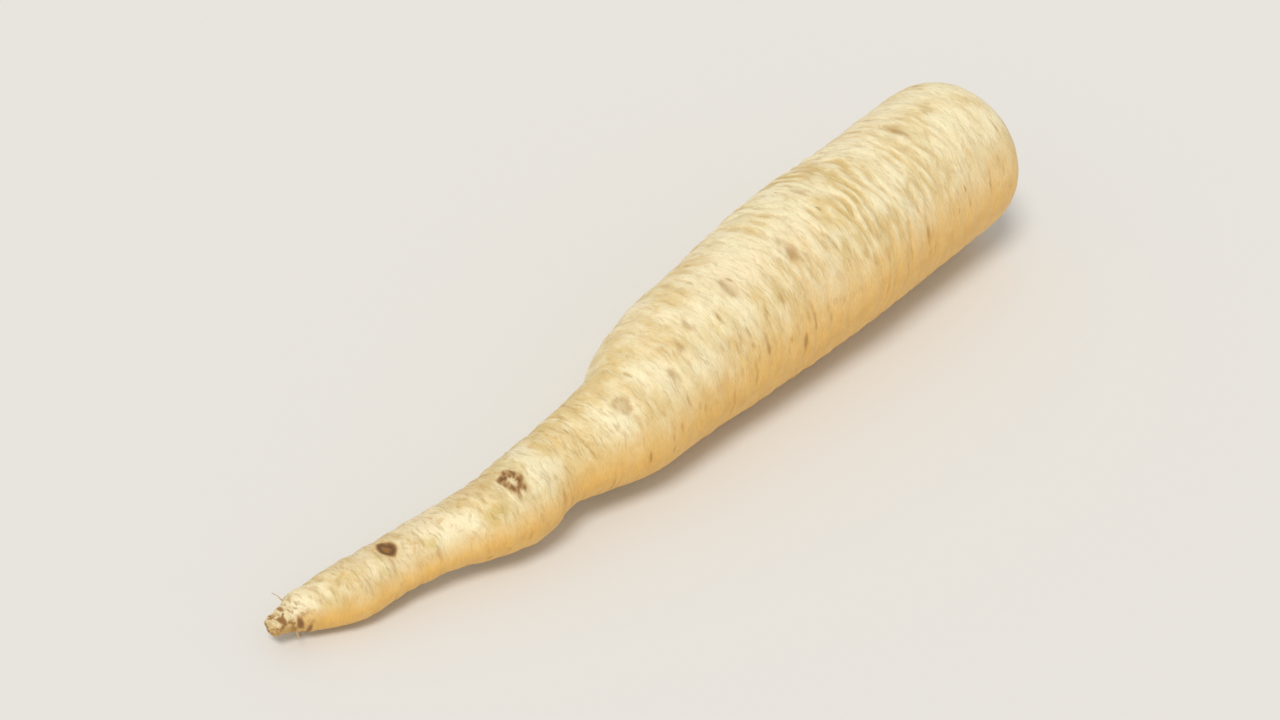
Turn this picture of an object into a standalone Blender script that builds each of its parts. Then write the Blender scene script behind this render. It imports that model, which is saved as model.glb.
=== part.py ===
"""Root parsley: one whole taproot, washed and topped, lying on its side along X with the crown at +X."""

import math
import random

import bmesh
import bpy
import numpy as np
from mathutils import Vector, noise

# Driving dimensions, in metres and degrees. Distances run along the root from the tip of the tail.
# Angles turn round it: 0 is the side at +Y, 90 the top, 180 the side at -Y and 270 underneath.

# Each station: distance, radius, side shift of the middle, height of the middle.
STATIONS = (
    (0.0005, 0.0019, 0.0105, 0.0050),
    (0.0043, 0.0030, 0.0100, 0.0052),
    (0.0110, 0.0049, 0.0082, 0.0057),
    (0.0160, 0.0060, 0.0064, 0.0063),
    (0.0280, 0.0061, 0.0040, 0.0078),
    (0.0405, 0.0068, 0.0008, 0.0092),
    (0.0500, 0.0082, -0.0020, 0.0104),
    (0.0570, 0.0089, -0.0027, 0.0111),
    (0.0660, 0.0086, -0.0022, 0.0121),
    (0.0780, 0.0104, -0.0036, 0.0132),
    (0.0880, 0.0123, -0.0045, 0.0140),
    (0.0990, 0.0147, -0.0028, 0.0149),
    (0.1070, 0.0158, -0.0018, 0.0155),
    (0.1220, 0.0170, -0.0014, 0.0165),
    (0.1530, 0.0191, -0.0013, 0.0185),
    (0.1750, 0.0189, -0.0012, 0.0193),
    (0.2012, 0.0190, -0.0010, 0.0205),
    (0.2180, 0.0190, -0.0009, 0.0212),
)
RADIUS, SIDE_SHIFT, HEIGHT = 1, 2, 3
DIRECTION_STEP = 0.002

# The tip is blunt: its rings lie close together, before the wrinkles begin.
TIP_RINGS = (0.0005, 0.0022, 0.0043, 0.0062)

# The shoulder rounds over like a squared-off circle.
SHOULDER_START = 0.2012
SHOULDER_LENGTH = 0.0139
SHOULDER_ROUNDNESS = 3.0
SHOULDER_RINGS = 8

# The crown: leaf-base scars that step inwards and up from the groove where the skin ends.
CROWN_RADIUS = 0.0132
GROOVE_WIDTH = 0.0005
GROOVE_DEPTH = 0.0007
SCAR_RINGS = 6
SCAR_STEP = 0.0017
SCAR_RISE = 0.0008
SCAR_LIP = 0.0003
SCAR_FACE = 0.0006
SCAR_WAVE = 0.022
CROWN_POINT = 0.0004

# Ring wrinkles across the root: the rings of points lie by turns on a crest and in a valley.
SIDES = 40
SEED = 11
WRINKLE_START = 0.0080
WRINKLE_SPACING = (0.0021, 0.0031)
WRINKLE_HEIGHT = 0.00026
WRINKLE_SPREAD = (0.7, 1.3)
WRINKLE_EVEN, WRINKLE_UNEVEN = 0.7, 0.3
WRINKLE_SLANT = 0.0005
LUMP_HEIGHT = 0.00045
LUMPS_PER_METRE = 45.0

# Dents and nubs where side roots grew: distance, angle, length, width, height.
KNOTS = (
    (0.0262, 88.0, 0.0021, 0.0024, -0.0012),
    (0.0530, 97.0, 0.0022, 0.0033, -0.0006),
    (0.0821, 108.0, 0.0020, 0.0034, -0.0004),
    (0.1004, 108.0, 0.0018, 0.0032, -0.0004),
    (0.1188, 100.0, 0.0020, 0.0036, -0.0005),
    (0.1365, 110.0, 0.0022, 0.0038, -0.0006),
    (0.1832, 85.0, 0.0020, 0.0036, -0.0005),
    (0.0560, 230.0, 0.0070, 0.0060, 0.0006),
    (0.0024, 140.0, 0.0016, 0.0015, 0.0007),
    (0.0030, 262.0, 0.0018, 0.0015, 0.0006),
    (0.0066, 30.0, 0.0020, 0.0018, 0.0007),
    (0.0150, 20.0, 0.0030, 0.0030, 0.0006),
    (0.0420, 330.0, 0.0022, 0.0026, -0.0008),
    (0.0760, 300.0, 0.0030, 0.0032, 0.0006),
    (0.1120, 10.0, 0.0020, 0.0034, -0.0006),
    (0.1610, 335.0, 0.0022, 0.0038, -0.0005),
)

# The flat spot that the root rests on is cut at floor level, and the wrinkles fade round it.
REST_MIDDLE = 0.1300
REST_HALF_LENGTH = 0.0450
REST_HALF_ANGLE = 32.0
REST_EDGE = 0.5
UNDERNEATH = 270.0

SKIN_COLOUR = (0.80, 0.62, 0.36, 1.0)
SKIN_ROUGHNESS = 0.55
SHARP_ANGLE = 50.0


def clear_scene():
    for old in list(bpy.data.objects):
        bpy.data.objects.remove(old, do_unlink=True)


def smooth_value(along, column):
    """A column of STATIONS at this distance, on a curve that passes through every station."""
    places = np.array([row[0] for row in STATIONS])
    values = np.array([row[column] for row in STATIONS])
    slopes = np.gradient(values, places)
    i = int(np.clip(np.searchsorted(places, along) - 1, 0, len(places) - 2))
    span = places[i + 1] - places[i]
    t = float(np.clip((along - places[i]) / span, 0.0, 1.0))
    start = values[i] * (1 + 2 * t) * (1 - t) ** 2 + slopes[i] * span * t * (1 - t) ** 2
    end = values[i + 1] * t * t * (3 - 2 * t) + slopes[i + 1] * span * t * t * (t - 1)
    return float(start + end)


def middle(along):
    """The root's middle at this distance."""
    return Vector((along, smooth_value(along, SIDE_SHIFT), smooth_value(along, HEIGHT)))


def across(along):
    """The directions sideways and upwards, square to the root's own direction there."""
    forward = middle(along + DIRECTION_STEP) - middle(along - DIRECTION_STEP)
    side = Vector((0.0, 0.0, 1.0)).cross(forward).normalized()
    return side, forward.normalized().cross(side)


def shoulder_place(share):
    """How far along the root its rounded shoulder has come in to this share of its radius."""
    turn = (1 - share**SHOULDER_ROUNDNESS) ** (1 / SHOULDER_ROUNDNESS)
    return SHOULDER_START + SHOULDER_LENGTH * turn


def angle_between(angle, other):
    return (angle - other + 180.0) % 360.0 - 180.0


def rest_fade(along, angle):
    """0 over the flat spot underneath and 1 away from it, with a soft edge."""
    below = abs(angle_between(angle, UNDERNEATH)) / REST_HALF_ANGLE
    away = abs(along - REST_MIDDLE) / REST_HALF_LENGTH
    return min(max(max(below, away) - 1.0, 0.0) / REST_EDGE, 1.0)


def lumps(along, angle):
    """Broad, low unevenness of the whole root."""
    turn = math.radians(angle)
    return LUMP_HEIGHT * noise.noise(Vector((math.cos(turn), math.sin(turn), along * LUMPS_PER_METRE)))


def knots(along, angle, radius):
    """Dents and nubs left by side roots."""
    total = 0.0
    for place, turn, length, width, height in KNOTS:
        aside = math.radians(angle_between(angle, turn)) * radius
        reach = ((along - place) / length) ** 2 + (aside / width) ** 2
        total += height * math.exp(-2 * reach)
    return total


def ring(along, radius, relief, slant=0.0, phase=0.0):
    """One ring of points round the root's middle; relief(angle) is added to the radius."""
    points = []
    for k in range(SIDES):
        angle = 360.0 * k / SIDES
        turn = math.radians(angle)
        here = along + slant * math.sin(2 * turn + phase)
        side, up = across(here)
        reach = radius + relief(angle)
        points.append(middle(here) + reach * (math.cos(turn) * side + math.sin(turn) * up))
    return points


def tip_rings():
    """Rings round the blunt, lumpy tip of the tail."""
    rings = []
    for along in TIP_RINGS:
        radius = smooth_value(along, RADIUS)

        def relief(angle, along=along, radius=radius):
            return lumps(along, angle) + knots(along, angle, radius)

        rings.append(ring(along, radius, relief))
    return rings


def wrinkle_rings():
    """Rings from the tail to the start of the shoulder, high and low by turns."""
    draw = random.Random(SEED)
    rings = []
    along = WRINKLE_START
    crest = 1
    while along < SHOULDER_START:
        phase = draw.uniform(0.0, 2 * math.pi)
        strength = crest * WRINKLE_HEIGHT * draw.uniform(*WRINKLE_SPREAD)
        radius = smooth_value(along, RADIUS)

        def relief(angle, along=along, radius=radius, phase=phase, strength=strength):
            uneven = WRINKLE_EVEN + WRINKLE_UNEVEN * math.sin(math.radians(angle) + phase)
            raised = strength * uneven + lumps(along, angle)
            return raised * rest_fade(along, angle) + knots(along, angle, radius)

        rings.append(ring(along, radius, relief, WRINKLE_SLANT, phase))
        along += draw.uniform(*WRINKLE_SPACING)
        crest = -crest
    return rings


def shoulder_rings():
    """Rings that round the shoulder over, down to the groove at the crown's edge."""
    full = smooth_value(SHOULDER_START, RADIUS)
    last = math.acos(CROWN_RADIUS / full)
    rings = []
    for i in range(1, SHOULDER_RINGS + 1):
        share = math.cos(last * i / SHOULDER_RINGS)
        along = shoulder_place(share)
        rings.append(ring(along, full * share, lambda angle, along=along: lumps(along, angle)))
    return rings


def crown_rings():
    """The groove where the skin ends, then rings of leaf-base scars, each a low wavy step."""
    foot = shoulder_place(CROWN_RADIUS / smooth_value(SHOULDER_START, RADIUS)) - GROOVE_DEPTH
    rings = [ring(foot, CROWN_RADIUS - GROOVE_WIDTH, lambda angle: 0.0)]
    for i in range(SCAR_RINGS):
        outer = CROWN_RADIUS - 2 * GROOVE_WIDTH - i * SCAR_STEP

        def edge(angle, outer=outer, i=i):
            turn = math.radians(angle)
            return SCAR_WAVE * outer * (math.sin(3 * turn + 2.1 * i) + 0.6 * math.sin(5 * turn + 1.3 * i))

        rings.append(ring(foot + i * SCAR_RISE, outer, edge))
        rings.append(ring(foot + (i + 1) * SCAR_RISE + SCAR_LIP, outer - SCAR_FACE, edge))
    return rings


def add_skin(bm, rings):
    """Joins the rings into one closed surface, with a point at the tail and one at the crown."""
    loops = [[bm.verts.new(point) for point in points] for points in rings]
    for near, far in zip(loops, loops[1:]):
        for k in range(SIDES):
            after = (k + 1) % SIDES
            bm.faces.new((near[k], near[after], far[after], far[k]))
    tail = bm.verts.new(middle(0.0))
    crown = bm.verts.new(sum(rings[-1], Vector()) / SIDES + Vector((CROWN_POINT, 0.0, 0.0)))
    for k in range(SIDES):
        after = (k + 1) % SIDES
        bm.faces.new((loops[0][after], loops[0][k], tail))
        bm.faces.new((loops[-1][k], loops[-1][after], crown))


def cut_flat_spot(bm):
    """Cuts the underside off at floor level and closes it with one flat face."""
    everything = bm.verts[:] + bm.edges[:] + bm.faces[:]
    cut = bmesh.ops.bisect_plane(
        bm, geom=everything, plane_co=(0, 0, 0), plane_no=(0, 0, -1), clear_outer=True
    )
    rim = [item for item in cut["geom_cut"] if isinstance(item, bmesh.types.BMEdge)]
    bmesh.ops.contextual_create(bm, geom=rim)


def centre_on_origin(bm):
    """Puts the middle of the bounding box over the origin."""
    for axis in (0, 1):
        values = [vert.co[axis] for vert in bm.verts]
        centre = (min(values) + max(values)) / 2
        for vert in bm.verts:
            vert.co[axis] -= centre


def skin_material():
    material = bpy.data.materials.new("parsley_root_skin")
    material.use_nodes = True
    shader = material.node_tree.nodes["Principled BSDF"]
    shader.inputs["Base Color"].default_value = SKIN_COLOUR
    shader.inputs["Roughness"].default_value = SKIN_ROUGHNESS
    shader.inputs["Metallic"].default_value = 0.0
    return material


def make_taproot():
    bm = bmesh.new()
    add_skin(bm, tip_rings() + wrinkle_rings() + shoulder_rings() + crown_rings())
    cut_flat_spot(bm)
    bmesh.ops.triangulate(bm, faces=bm.faces[:])
    bmesh.ops.recalc_face_normals(bm, faces=bm.faces[:])
    centre_on_origin(bm)
    mesh = bpy.data.meshes.new("taproot")
    bm.to_mesh(mesh)
    bm.free()
    mesh.shade_smooth()
    mesh.set_sharp_from_angle(angle=math.radians(SHARP_ANGLE))
    mesh.materials.append(skin_material())
    taproot = bpy.data.objects.new("taproot", mesh)
    bpy.context.scene.collection.objects.link(taproot)


clear_scene()
make_taproot()
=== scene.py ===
"""Root parsley: the finished skin, crown, leaf stubs and fibres of one taproot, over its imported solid."""

import math
import random

import bmesh
import bpy
import numpy as np
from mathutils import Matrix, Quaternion, Vector, noise


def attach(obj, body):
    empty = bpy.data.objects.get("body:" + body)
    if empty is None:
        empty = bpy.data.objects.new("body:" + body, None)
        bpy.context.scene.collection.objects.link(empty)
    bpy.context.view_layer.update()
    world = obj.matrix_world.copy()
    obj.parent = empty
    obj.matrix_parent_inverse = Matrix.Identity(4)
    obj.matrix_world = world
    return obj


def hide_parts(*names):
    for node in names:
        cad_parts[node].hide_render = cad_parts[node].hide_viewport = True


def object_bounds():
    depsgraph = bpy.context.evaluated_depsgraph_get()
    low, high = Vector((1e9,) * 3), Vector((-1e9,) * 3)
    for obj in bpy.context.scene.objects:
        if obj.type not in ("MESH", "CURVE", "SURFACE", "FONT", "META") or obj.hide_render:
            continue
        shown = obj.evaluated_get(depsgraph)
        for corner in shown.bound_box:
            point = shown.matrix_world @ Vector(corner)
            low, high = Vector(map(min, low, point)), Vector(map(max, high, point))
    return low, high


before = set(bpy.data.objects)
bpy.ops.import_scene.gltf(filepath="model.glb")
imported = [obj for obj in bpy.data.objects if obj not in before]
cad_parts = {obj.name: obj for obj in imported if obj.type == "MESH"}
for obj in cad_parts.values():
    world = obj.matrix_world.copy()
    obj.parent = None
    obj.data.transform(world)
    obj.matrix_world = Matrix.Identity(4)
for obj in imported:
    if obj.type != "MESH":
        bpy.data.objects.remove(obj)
CAD_BOX = [list(corner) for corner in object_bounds()]
MM = 0.001

# The solid's own measures, in metres and degrees. Distances run along the root from the tip of the tail.
# Angles turn round it: 0 is the side at +Y, 90 the top, 180 the side at -Y and 270 underneath.
# Each station, in millimetres: distance, radius, side shift of the middle, height of the middle.
STATIONS = np.array((
    (0.5, 1.9, 10.5, 5.0),
    (4.3, 3.0, 10.0, 5.2),
    (11.0, 4.9, 8.2, 5.7),
    (16.0, 6.0, 6.4, 6.3),
    (28.0, 6.1, 4.0, 7.8),
    (40.5, 6.8, 0.8, 9.2),
    (50.0, 8.2, -2.0, 10.4),
    (57.0, 8.9, -2.7, 11.1),
    (66.0, 8.6, -2.2, 12.1),
    (78.0, 10.4, -3.6, 13.2),
    (88.0, 12.3, -4.5, 14.0),
    (99.0, 14.7, -2.8, 14.9),
    (107.0, 15.8, -1.8, 15.5),
    (122.0, 17.0, -1.4, 16.5),
    (153.0, 19.1, -1.3, 18.5),
    (175.0, 18.9, -1.2, 19.3),
    (201.2, 19.0, -1.0, 20.5),
    (218.0, 19.0, -0.9, 21.2),
)) * MM
RADIUS, SIDE_SHIFT, HEIGHT = 1, 2, 3
DIRECTION_STEP = 0.002
TIP_RINGS = (0.0005, 0.0022, 0.0043, 0.0062)
SHOULDER_START = 0.2012
SHOULDER_LENGTH = 0.0139
SHOULDER_ROUNDNESS = 3.0
SHOULDER_RINGS = 8
CROWN_RADIUS = 0.0132
GROOVE_WIDTH = 0.0005
GROOVE_DEPTH = 0.0007
SCAR_RINGS = 6
SCAR_STEP = 0.0017
SCAR_RISE = 0.0008
SCAR_LIP = 0.0003
SCAR_FACE = 0.0006
SCAR_WAVE = 0.022
SOLID_SIDES = 40
SEED = 11
WRINKLE_START = 0.0080
WRINKLE_SPACING = (0.0021, 0.0031)
WRINKLE_HEIGHT = 0.00026
WRINKLE_SPREAD = (0.7, 1.3)
WRINKLE_EVEN, WRINKLE_UNEVEN = 0.7, 0.3
WRINKLE_SLANT = 0.0005
LUMP_HEIGHT = 0.00045
LUMPS_PER_METRE = 45.0
REST_MIDDLE = 0.1300
REST_HALF_LENGTH = 0.0450
REST_HALF_ANGLE = 32.0
REST_EDGE = 0.5
UNDERNEATH = 270.0
# Dents and nubs where side roots grew, in millimetres and degrees: distance, angle, length, width, height.
KNOTS = (
    (26.2, 88, 2.1, 2.4, -1.2),
    (53.0, 97, 2.2, 3.3, -0.6),
    (82.1, 108, 2.0, 3.4, -0.4),
    (100.4, 108, 1.8, 3.2, -0.4),
    (118.8, 100, 2.0, 3.6, -0.5),
    (136.5, 110, 2.2, 3.8, -0.6),
    (183.2, 85, 2.0, 3.6, -0.5),
    (56.0, 230, 7.0, 6.0, 0.6),
    (2.4, 140, 1.6, 1.5, 0.7),
    (3.0, 262, 1.8, 1.5, 0.6),
    (6.6, 30, 2.0, 1.8, 0.7),
    (15.0, 20, 3.0, 3.0, 0.6),
    (42.0, 330, 2.2, 2.6, -0.8),
    (76.0, 300, 3.0, 3.2, 0.6),
    (112.0, 10, 2.0, 3.4, -0.6),
    (161.0, 335, 2.2, 3.8, -0.5),
)

# How finely the pieces are divided: sides round the root, and the cuts that make the rings.
SKIN_SIDES, SKIN_CUTS = 144, (24, 25)
CROWN_SIDES, CROWN_CUTS = 288, (11, 12)
FIBRE_SIDES, FIBRE_CUTS = 10, (4, 5)
STUB_CUTS = 25
# Points nearer than this count as one when a blank is cut and shaped, and when doubles are merged.
NEAR, DOUBLE = 0.1 * MM, 0.001 * MM


# Shape of the root


def curve(start, end, leave, arrive, t):
    """A smooth curve from start to end, which leaves the one and reaches the other at these slopes."""
    first = start * (1 + 2 * t) * (1 - t) ** 2 + leave * t * (1 - t) ** 2
    return first + (end * t * t * (3 - 2 * t) + arrive * t * t * (t - 1))


def smooth_value(along, column):
    """A column of STATIONS at these distances, on a curve that passes through every station."""
    places, values = STATIONS[:, 0], STATIONS[:, column]
    slopes = np.gradient(values, places)
    i = np.clip(np.searchsorted(places, along) - 1, 0, len(places) - 2)
    span = places[i + 1] - places[i]
    t = np.clip((along - places[i]) / span, 0.0, 1.0)
    return curve(values[i], values[i + 1], slopes[i] * span, slopes[i + 1] * span, t)


def middle(along):
    """The root's middle at these distances, before the whole is centred on the origin."""
    return np.stack((along, smooth_value(along, SIDE_SHIFT), smooth_value(along, HEIGHT)), axis=-1)


def unit(vectors):
    """The directions of these vectors, at length 1."""
    return vectors / np.maximum(np.linalg.norm(vectors, axis=-1, keepdims=True), 1e-12)


def across(along):
    """The directions sideways and upwards, square to the root's own direction there."""
    forward = unit(middle(along + DIRECTION_STEP) - middle(along - DIRECTION_STEP))
    side = unit(np.cross((0.0, 0.0, 1.0), forward))
    return side, np.cross(forward, side)


def around_middle(along, angle, reach):
    """Points at this reach from the root's middle. Each of the three is a number or an array."""
    along, angle, reach = np.broadcast_arrays(along, angle, reach)
    turn = np.radians(angle)[..., None]
    side, up = across(along)
    return middle(along) + reach[..., None] * (np.cos(turn) * side + np.sin(turn) * up)


def shoulder_place(share):
    """How far along the root its rounded shoulder has come in to this share of its radius."""
    return SHOULDER_START + SHOULDER_LENGTH * (1 - share**SHOULDER_ROUNDNESS) ** (1 / SHOULDER_ROUNDNESS)


SHOULDER_RADIUS = float(smooth_value(SHOULDER_START, RADIUS))
CROWN_FOOT = shoulder_place(CROWN_RADIUS / SHOULDER_RADIUS) - GROOVE_DEPTH


def all_round(sides):
    """The angles of so many sides."""
    return np.arange(sides) * 360.0 / sides


def degrees_between(angle, other):
    return (angle - other + 180.0) % 360.0 - 180.0


def field(x, y, z):
    """Blender's smooth noise, from about -1 to 1, at each point of three arrays or numbers."""
    x, y, z = np.broadcast_arrays(x, y, z)
    values = [noise.noise(point) for point in zip(x.ravel(), y.ravel(), z.ravel())]
    return np.array(values).reshape(x.shape)


def round_field(along, angle, around, per_metre, shift):
    """Noise that closes on itself round the root: a higher around gives more features to a turn."""
    turn = np.radians(angle)
    return field(np.cos(turn) * around, np.sin(turn) * around + shift, along * per_metre + shift)


def ramp(value, low, high):
    """0 below low, 1 above high and a smooth rise between them."""
    t = np.clip((value - low) / (high - low), 0.0, 1.0)
    return t * t * (3 - 2 * t)


def facing(angle, middle_angle, whole, end):
    """1 on the side round this middle angle, and less from whole to end, in degrees away from it."""
    return 1 - ramp(np.abs(degrees_between(angle, middle_angle)), whole, end)


def rest_fade(along, angle):
    """0 over the flat spot underneath and 1 away from it, with a soft edge."""
    below = np.abs(degrees_between(angle, UNDERNEATH)) / REST_HALF_ANGLE
    away = np.abs(along - REST_MIDDLE) / REST_HALF_LENGTH
    return np.clip((np.maximum(below, away) - 1.0) / REST_EDGE, 0.0, 1.0)


def lumps(along, angle):
    """Broad, low unevenness of the whole root."""
    turn = np.radians(angle)
    return LUMP_HEIGHT * field(np.cos(turn), np.sin(turn), along * LUMPS_PER_METRE)


def oval_place(along, angle, radius, place, turn, length, width):
    """Where points lie from the middle of an oval on the skin, along and aside, as shares of its size. The
    oval is in millimetres and degrees."""
    aside = np.radians(degrees_between(angle, turn)) * radius
    return (along - place * MM) / (length * MM), aside / (width * MM)


def reach_of(*points_and_oval):
    """Squared distance from the middle of an oval on the skin, 1 at its edge."""
    ahead, aside = oval_place(*points_and_oval)
    return ahead**2 + aside**2


def knots(along, angle, radius):
    """Dents and nubs left by side roots."""
    total = 0.0
    for *oval, height in KNOTS:
        total = total + height * MM * np.exp(-2 * reach_of(along, angle, radius, *oval))
    return total


def solid_rings(angle, wrinkle_share=1.0):
    """The solid's own rings of points at these angles, from the tip's middle to the groove."""
    turn = np.radians(angle)
    rings = [around_middle(0.0, angle, 0.0)]
    for along in TIP_RINGS:
        radius = smooth_value(along, RADIUS)
        rings.append(around_middle(along, angle, radius + lumps(along, angle) + knots(along, angle, radius)))
    draw = random.Random(SEED)
    along = WRINKLE_START
    crest = 1
    while along < SHOULDER_START:
        phase = draw.uniform(0.0, 2 * math.pi)
        strength = wrinkle_share * crest * WRINKLE_HEIGHT * draw.uniform(*WRINKLE_SPREAD)
        radius = smooth_value(along, RADIUS)
        uneven = WRINKLE_EVEN + WRINKLE_UNEVEN * np.sin(turn + phase)
        raised = (strength * uneven + lumps(along, angle)) * rest_fade(along, angle)
        reach = radius + raised + knots(along, angle, radius)
        rings.append(around_middle(along + WRINKLE_SLANT * np.sin(2 * turn + phase), angle, reach))
        along += draw.uniform(*WRINKLE_SPACING)
        crest = -crest
    last = math.acos(CROWN_RADIUS / SHOULDER_RADIUS)
    for i in range(1, SHOULDER_RINGS + 1):
        share = math.cos(last * i / SHOULDER_RINGS)
        along = shoulder_place(share)
        rings.append(around_middle(along, angle, SHOULDER_RADIUS * share + lumps(along, angle)))
    rings.append(around_middle(CROWN_FOOT, angle, CROWN_RADIUS - GROOVE_WIDTH))
    return np.array(rings)


def between_rings(rings, where):
    """Rings on smooth curves through these rings; where counts them from 0, with fractions."""
    i = np.clip(where.astype(int), 0, len(rings) - 2)
    start, end = rings[i], rings[i + 1]
    leave = (end - rings[np.maximum(i - 1, 0)]) / 2
    arrive = (rings[np.minimum(i + 2, len(rings) - 1)] - start) / 2
    return curve(start, end, leave, arrive, (where - i)[:, None, None])


def row_shift():
    """What the solid was moved by to centre its box over the origin."""
    solid = solid_rings(all_round(SOLID_SIDES))
    sideways = (solid[..., 1].min() + solid[..., 1].max()) / 2
    return np.array((CAD_BOX[0][0], -sideways, 0.0))


ROW_SHIFT = row_shift()


# Modelling by hand


def set_mode(mode):
    bpy.ops.object.mode_set(mode=mode)


def deselect_all():
    if bpy.context.object and bpy.context.object.mode != "OBJECT":
        set_mode("OBJECT")
    bpy.ops.object.select_all(action="DESELECT")


def turned_blank(name, sides, cuts, length, radius, place):
    """A bar along X with a fan of triangles at each end, cut across into rings of points."""
    deselect_all()
    along_x = (0.0, math.pi / 2, 0.0)
    bpy.ops.mesh.primitive_cylinder_add(
        vertices=sides, radius=radius, depth=length, end_fill_type="TRIFAN", location=place, rotation=along_x
    )
    bpy.ops.object.transform_apply(location=True, rotation=True, scale=True)
    blank = bpy.context.object
    blank.name = blank.data.name = name
    set_mode("EDIT")
    bpy.ops.mesh.select_mode(type="EDGE")
    for parts in cuts:
        bpy.ops.mesh.select_all(action="DESELECT")
        bm = bmesh.from_edit_mesh(blank.data)
        for edge in bm.edges:
            first, second = edge.verts
            edge.select_set(abs(first.co.x - second.co.x) > NEAR)
        bmesh.update_edit_mesh(blank.data)
        bpy.ops.mesh.subdivide(number_cuts=parts - 1)
    set_mode("OBJECT")
    return blank


def points_of(piece):
    co = np.empty(len(piece.data.vertices) * 3)
    piece.data.vertices.foreach_get("co", co)
    return co.reshape(-1, 3)


def place_points(piece, points):
    """Gives a piece these points, moved as the solid was and held inside its box, flat underneath."""
    held = np.clip(points + ROW_SHIFT, *CAD_BOX)
    piece.data.vertices.foreach_set("co", held.astype(np.float32).ravel())
    piece.data.update()


def add_values(piece, name, values):
    """A number at each point, which the materials read by this name."""
    attribute = piece.data.attributes.new(name, "FLOAT", "POINT")
    attribute.data.foreach_set("value", np.asarray(values, np.float32))


def shape_blank(blank, grid, ends, values=None):
    """Moves each point of a blank to its ring and side in the grid, and the two ends' middles to ends. Each
    of the values is such a grid too, of numbers for the points."""
    co = points_of(blank)
    low, high = co.min(axis=0), co.max(axis=0)
    rings, sides = grid.shape[:2]
    ring = np.rint((co[:, 0] - low[0]) / (high[0] - low[0]) * (rings - 1)).astype(int)
    aside, up = (co - (low + high) / 2).T[1:]
    side = np.rint(np.arctan2(up, aside) / (2 * np.pi) * sides).astype(int) % sides
    shaped = grid[ring, side]
    pole = np.hypot(aside, up) < NEAR
    shaped[pole & (ring == 0)], shaped[pole & (ring > 0)] = ends
    place_points(blank, shaped)
    for name, numbers in (values or {}).items():
        add_values(blank, name, numbers[ring, side])


def outward(grid):
    """Directions square to a grid of rings and sides."""
    wrapped = np.concatenate((grid[:, -1:], grid, grid[:, :1]), axis=1)
    return unit(np.cross(wrapped[:, 2:] - wrapped[:, :-2], np.gradient(grid, axis=0)))


def finish_piece(piece, material, smooth_angle=60.0):
    """Merges doubles, turns faces outwards, smooths, and gives the piece its material and its body."""
    deselect_all()
    bpy.context.view_layer.objects.active = piece
    piece.select_set(True)
    set_mode("EDIT")
    bpy.ops.mesh.select_all(action="SELECT")
    bpy.ops.mesh.remove_doubles(threshold=DOUBLE)
    bpy.ops.mesh.normals_make_consistent(inside=False)
    set_mode("OBJECT")
    bpy.ops.object.shade_smooth_by_angle(angle=math.radians(smooth_angle))
    piece.data.materials.clear()
    piece.data.materials.append(material)
    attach(piece, "root")


# Skin

# Creases across the root, finer than the solid's rings: features to the metre along and round it, width of
# the crease as a share of a feature, depth, noise seed.
CREASES = (
    (310.0, 85.0, 0.11, 0.22 * MM, 3.1),
    (540.0, 140.0, 0.15, 0.14 * MM, 11.7),
)
# The share of their height that the solid's broad rings keep in the skin, where finer creases take over.
BROAD_RING_SHARE = 0.45
# How strong the creases and ridges are at these distances from the tip.
CREASE_PLACES = (0.0, 0.010, 0.060, 0.085, 0.125, 0.140, 0.172, 0.190, 0.2100, 0.2130)
CREASE_SHARES = (0.7, 0.7, 0.50, 0.50, 0.60, 0.8, 0.8, 0.65, 0.50, 0.90)
DIMPLE_DEPTH = 0.13 * MM
# Sides of the root that differ: their middle angle, how far from there they are whole and where they end.
# The flank is smoother and loses these shares of its ridges and creases, the lower flank is more golden,
# partly in its own tan and partly as painted warm light thrown up from neighbouring roots, and the tail's far
# side is browner.
SMOOTH_SIDE, SMOOTH_RIDGES, SMOOTH_CREASES = (190.0, 35.0, 70.0), 0.75, 0.40
GOLD_AND_BOUNCE_SIDE = (205.0, 22.0, 80.0)
FAR_SIDE, FAR_TAN, FAR_END = (55.0, 25.0, 50.0), 0.27, (50.0 * MM, 75.0 * MM)
# Clusters of close ridges: where along the root and how strong they are there, pitch, wander and height.
RIDGE_PLACES = (0.0, 0.030, 0.100, 0.138, 0.150, 0.176, 0.188, 0.2100, 0.2160)
RIDGE_SHARES = (0.5, 0.50, 0.30, 0.55, 1.25, 1.25, 0.60, 0.35, 0.80)
RIDGE_PITCH, RIDGE_WANDER, RIDGE_HEIGHT = 3.3 * MM, 3.2 * MM, 0.18 * MM
# Close lines round the lip of the shoulder: how far back from it they fade, pitch, wander and depth.
COLLAR_FADE, COLLAR_PITCH, COLLAR_WANDER, COLLAR_DEPTH = (1.4 * MM, 7.0 * MM), 0.95 * MM, 1.3 * MM, 0.16 * MM
# The bare lip inside them: how far back it fades, and how much its edge wanders and frays.
LIP_FADE, LIP_WANDER, LIP_FRAY = (0.6 * MM, 3.6 * MM), 2.6 * MM, 1.2 * MM
# The rough brown tip: where it ends, how brown and tan it is, and the depth of its pits.
TIP_FADE, TIP_BROWN, TIP_TAN, TIP_DEPTH = (1.0 * MM, 8.0 * MM), 0.40, 0.55, 0.30 * MM
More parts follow.
